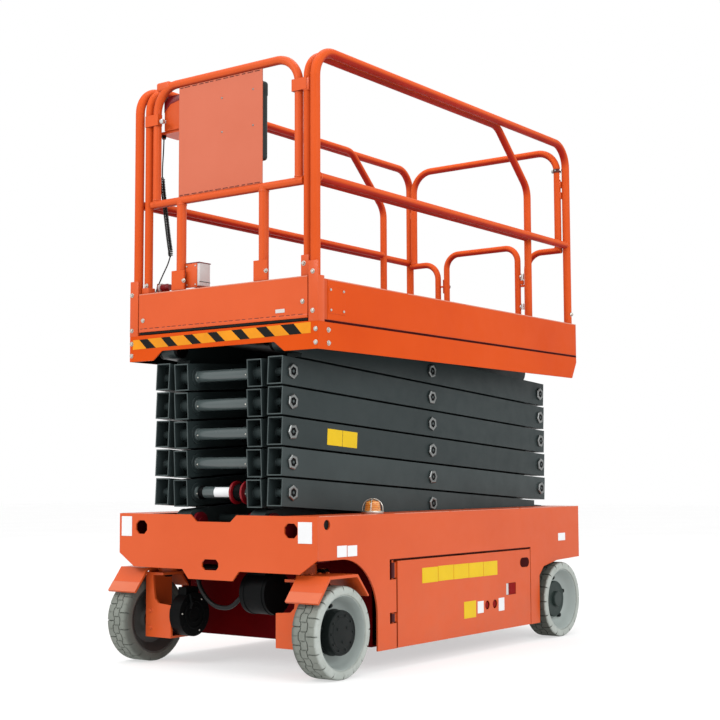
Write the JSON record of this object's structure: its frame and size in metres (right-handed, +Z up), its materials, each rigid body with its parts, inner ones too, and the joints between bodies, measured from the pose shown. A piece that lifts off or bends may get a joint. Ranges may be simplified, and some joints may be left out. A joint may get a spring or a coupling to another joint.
{
  "type": "electric scissor lift",
  "caption": "Slab scissor lift: wheeled chassis with steered front wheels, six-tier scissor stack, railed platform with a sliding extension deck, entry gate and side doors.",
  "frame": {"origin": "on the ground under the middle of the machine's bounding box", "axes": "+X forward to the steered end, +Y to the machine's left, +Z up"},
  "size_m": [2.364, 1.2, 2.6509],
  "materials": {
    "orange": "gloss orange-red powder coat",
    "arm": "satin charcoal paint",
    "barrel": "black paint",
    "rod": "polished",
    "tyre": "light grey non-marking rubber",
    "rim": "light grey paint",
    "black": "matte black",
    "dark_metal": "black paint",
    "rubber": "black cable jacket",
    "amber": "amber lens on a pale base",
    "white": "white"
  },
  "bodies": {
    "chassis": {"chassis_frame": "orange", "front_plate": "orange", "side_panel_left": "orange", "side_panel_right": "orange", "belly_tray": "orange", "battery_pack": "black", "hydraulic_tank": "dark_metal", "rear_axle": "orange", "rear_ladder": "orange", "beacon": "amber", "valve_block": "black", "underbody_hose": "rubber"},
    "door_left": {"door_left": "orange"},
    "door_right": {"door_right": "orange"},
    "knuckle_left": {"knuckle_left": "orange", "drive_motor_left": "black"},
    "knuckle_right": {"knuckle_right": "orange", "drive_motor_right": "black"},
    "tie_rod": {"tie_rod": "dark_metal"},
    "wheel_front_left": {"tyre_front_left": "tyre", "rim_front_left": "rim"},
    "wheel_front_right": {"tyre_front_right": "tyre", "rim_front_right": "rim"},
    "wheel_rear_left": {"tyre_rear_left": "tyre", "rim_rear_left": "rim"},
    "wheel_rear_right": {"tyre_rear_right": "tyre", "rim_rear_right": "rim"},
    "inner_arm_1": {"inner_arm_1": "arm"},
    "outer_arm_1": {"outer_arm_1": "arm"},
    "inner_arm_2": {"inner_arm_2": "arm"},
    "outer_arm_2": {"outer_arm_2": "arm"},
    "inner_arm_3": {"inner_arm_3": "arm"},
    "outer_arm_3": {"outer_arm_3": "arm"},
    "inner_arm_4": {"inner_arm_4": "arm"},
    "outer_arm_4": {"outer_arm_4": "arm"},
    "inner_arm_5": {"inner_arm_5": "arm"},
    "outer_arm_5": {"outer_arm_5": "arm"},
    "inner_arm_6": {"inner_arm_6": "arm"},
    "outer_arm_6": {"outer_arm_6": "arm"},
    "lift_barrel_lower": {"lift_barrel_lower": "barrel"},
    "lift_rod_lower": {"lift_rod_lower": "rod"},
    "lift_barrel_upper": {"lift_barrel_upper": "barrel"},
    "lift_rod_upper": {"lift_rod_upper": "rod"},
    "platform": {"platform_deck": "orange", "toe_boards": "orange", "main_rail_left": "orange", "main_rail_right": "orange", "rear_rail": "orange"},
    "gate": {"gate": "orange"},
    "extension": {"extension_deck": "orange", "extension_rail_left": "orange", "extension_rail_right": "orange", "front_rail": "orange", "front_panel": "orange", "control_box": "orange", "document_box": "black", "socket_box": "white", "cable_tail_upper": "rubber", "cable_coil": "rubber", "cable_tail_lower": "rubber"}
  },
  "joints": [
    {"name": "lift", "type": "hinge", "parent": "chassis", "child": "inner_arm_1", "pos_m": [1.038, 0, 0.633], "axis": [0, 1, 0], "range_deg": [0, 56.5]},
    {"name": "outer_arm_1_fold", "type": "hinge", "parent": "inner_arm_1", "child": "outer_arm_1", "pos_m": [-0.024, 0, 0.6968], "axis": [0, 1, 0], "range_deg": [-113, 0]},
    {"name": "outer_arm_2_fold", "type": "hinge", "parent": "inner_arm_1", "child": "outer_arm_2", "pos_m": [-1.086, 0, 0.7606], "axis": [0, 1, 0], "range_deg": [-113, 0]},
    {"name": "inner_arm_2_fold", "type": "hinge", "parent": "outer_arm_2", "child": "inner_arm_2", "pos_m": [-0.024, 0, 0.8244], "axis": [0, 1, 0], "range_deg": [0, 113]},
    {"name": "inner_arm_3_fold", "type": "hinge", "parent": "outer_arm_2", "child": "inner_arm_3", "pos_m": [1.038, 0, 0.8882], "axis": [0, 1, 0], "range_deg": [0, 113]},
    {"name": "outer_arm_3_fold", "type": "hinge", "parent": "inner_arm_3", "child": "outer_arm_3", "pos_m": [-0.024, 0, 0.952], "axis": [0, 1, 0], "range_deg": [-113, 0]},
    {"name": "outer_arm_4_fold", "type": "hinge", "parent": "inner_arm_3", "child": "outer_arm_4", "pos_m": [-1.086, 0, 1.0158], "axis": [0, 1, 0], "range_deg": [-113, 0]},
    {"name": "inner_arm_4_fold", "type": "hinge", "parent": "outer_arm_4", "child": "inner_arm_4", "pos_m": [-0.024, 0, 1.0796], "axis": [0, 1, 0], "range_deg": [0, 113]},
    {"name": "inner_arm_5_fold", "type": "hinge", "parent": "outer_arm_4", "child": "inner_arm_5", "pos_m": [1.038, 0, 1.1434], "axis": [0, 1, 0], "range_deg": [0, 113]},
    {"name": "outer_arm_5_fold", "type": "hinge", "parent": "inner_arm_5", "child": "outer_arm_5", "pos_m": [-0.024, 0, 1.2072], "axis": [0, 1, 0], "range_deg": [-113, 0]},
    {"name": "outer_arm_6_fold", "type": "hinge", "parent": "inner_arm_5", "child": "outer_arm_6", "pos_m": [-1.086, 0, 1.271], "axis": [0, 1, 0], "range_deg": [-113, 0]},
    {"name": "inner_arm_6_fold", "type": "hinge", "parent": "outer_arm_6", "child": "inner_arm_6", "pos_m": [-0.024, 0, 1.3348], "axis": [0, 1, 0], "range_deg": [0, 113]},
    {"name": "platform_level", "type": "hinge", "parent": "outer_arm_6", "child": "platform", "pos_m": [1.038, 0, 1.3986], "axis": [0, 1, 0], "range_deg": [0, 56.5]},
    {"name": "lift_cylinder_lower_swing", "type": "hinge", "parent": "inner_arm_2", "child": "lift_barrel_lower", "pos_m": [0.87829, 0, 0.77019], "axis": [0, 1, 0], "range_deg": [0, 11]},
    {"name": "lift_cylinder_lower_stroke", "type": "slide", "parent": "lift_barrel_lower", "child": "lift_rod_lower", "axis": [-0.992, 0, 0.1262], "range_m": [0, 1.71]},
    {"name": "lift_cylinder_upper_swing", "type": "hinge", "parent": "inner_arm_4", "child": "lift_barrel_upper", "pos_m": [0.87829, 0, 1.0254], "axis": [0, 1, 0], "range_deg": [0, 11]},
    {"name": "lift_cylinder_upper_stroke", "type": "slide", "parent": "lift_barrel_upper", "child": "lift_rod_upper", "axis": [-0.992, 0, 0.1262], "range_m": [0, 1.71]},
    {"name": "steer_left", "type": "hinge", "parent": "chassis", "child": "knuckle_left", "pos_m": [0.984, 0.4, 0.43], "axis": [0, 0, 1], "range_deg": [-60, 60]},
    {"name": "steer_right", "type": "hinge", "parent": "chassis", "child": "knuckle_right", "pos_m": [0.984, -0.4, 0.43], "axis": [0, 0, 1], "range_deg": [-60, 60]},
    {"name": "tie_rod_swing", "type": "hinge", "parent": "knuckle_left", "child": "tie_rod", "pos_m": [0.872, 0.4, 0.424], "axis": [0, 0, 1], "range_deg": [-60, 60]},
    {"name": "spin_front_left", "type": "hinge", "parent": "knuckle_left", "child": "wheel_front_left", "pos_m": [0.984, 0.5315, 0.1905], "axis": [0, 1, 0], "continuous": true},
    {"name": "spin_front_right", "type": "hinge", "parent": "knuckle_right", "child": "wheel_front_right", "pos_m": [0.984, -0.5315, 0.1905], "axis": [0, 1, 0], "continuous": true},
    {"name": "spin_rear_left", "type": "hinge", "parent": "chassis", "child": "wheel_rear_left", "pos_m": [-0.898, 0.5315, 0.1905], "axis": [0, 1, 0], "continuous": true},
    {"name": "spin_rear_right", "type": "hinge", "parent": "chassis", "child": "wheel_rear_right", "pos_m": [-0.898, -0.5315, 0.1905], "axis": [0, 1, 0], "continuous": true},
    {"name": "door_left_hinge", "type": "hinge", "parent": "chassis", "child": "door_left", "pos_m": [0.592, 0.562, 0.27], "axis": [0, 0, 1], "range_deg": [-95, 0]},
    {"name": "door_right_hinge", "type": "hinge", "parent": "chassis", "child": "door_right", "pos_m": [0.592, -0.562, 0.27], "axis": [0, 0, 1], "range_deg": [0, 95]},
    {"name": "gate_hinge", "type": "hinge", "parent": "platform", "child": "gate", "pos_m": [-1.13, 0.249, 1.7], "axis": [0, 0, 1], "range_deg": [0, 90]},
    {"name": "extension_slide", "type": "slide", "parent": "platform", "child": "extension", "axis": [1, 0, 0], "range_m": [0, 0.9]}
  ],
  "couplings": [
    {"joint": "outer_arm_1_fold", "follows": "lift", "ratio": -2},
    {"joint": "outer_arm_2_fold", "follows": "lift", "ratio": -2},
    {"joint": "inner_arm_2_fold", "follows": "lift", "ratio": 2},
    {"joint": "inner_arm_3_fold", "follows": "lift", "ratio": 2},
    {"joint": "outer_arm_3_fold", "follows": "lift", "ratio": -2},
    {"joint": "outer_arm_4_fold", "follows": "lift", "ratio": -2},
    {"joint": "inner_arm_4_fold", "follows": "lift", "ratio": 2},
    {"joint": "inner_arm_5_fold", "follows": "lift", "ratio": 2},
    {"joint": "outer_arm_5_fold", "follows": "lift", "ratio": -2},
    {"joint": "outer_arm_6_fold", "follows": "lift", "ratio": -2},
    {"joint": "inner_arm_6_fold", "follows": "lift", "ratio": 2},
    {"joint": "platform_level", "follows": "lift", "ratio": 1},
    {"joint": "lift_cylinder_lower_swing", "follows": "lift", "ratio": 0.19403},
    {"joint": "lift_cylinder_lower_stroke", "follows": "lift", "m_per_rad": 1.7256},
    {"joint": "lift_cylinder_upper_swing", "follows": "lift", "ratio": 0.19403},
    {"joint": "lift_cylinder_upper_stroke", "follows": "lift", "m_per_rad": 1.7256},
    {"joint": "steer_right", "follows": "steer_left", "ratio": 1},
    {"joint": "tie_rod_swing", "follows": "steer_left", "ratio": -1}
  ]
}
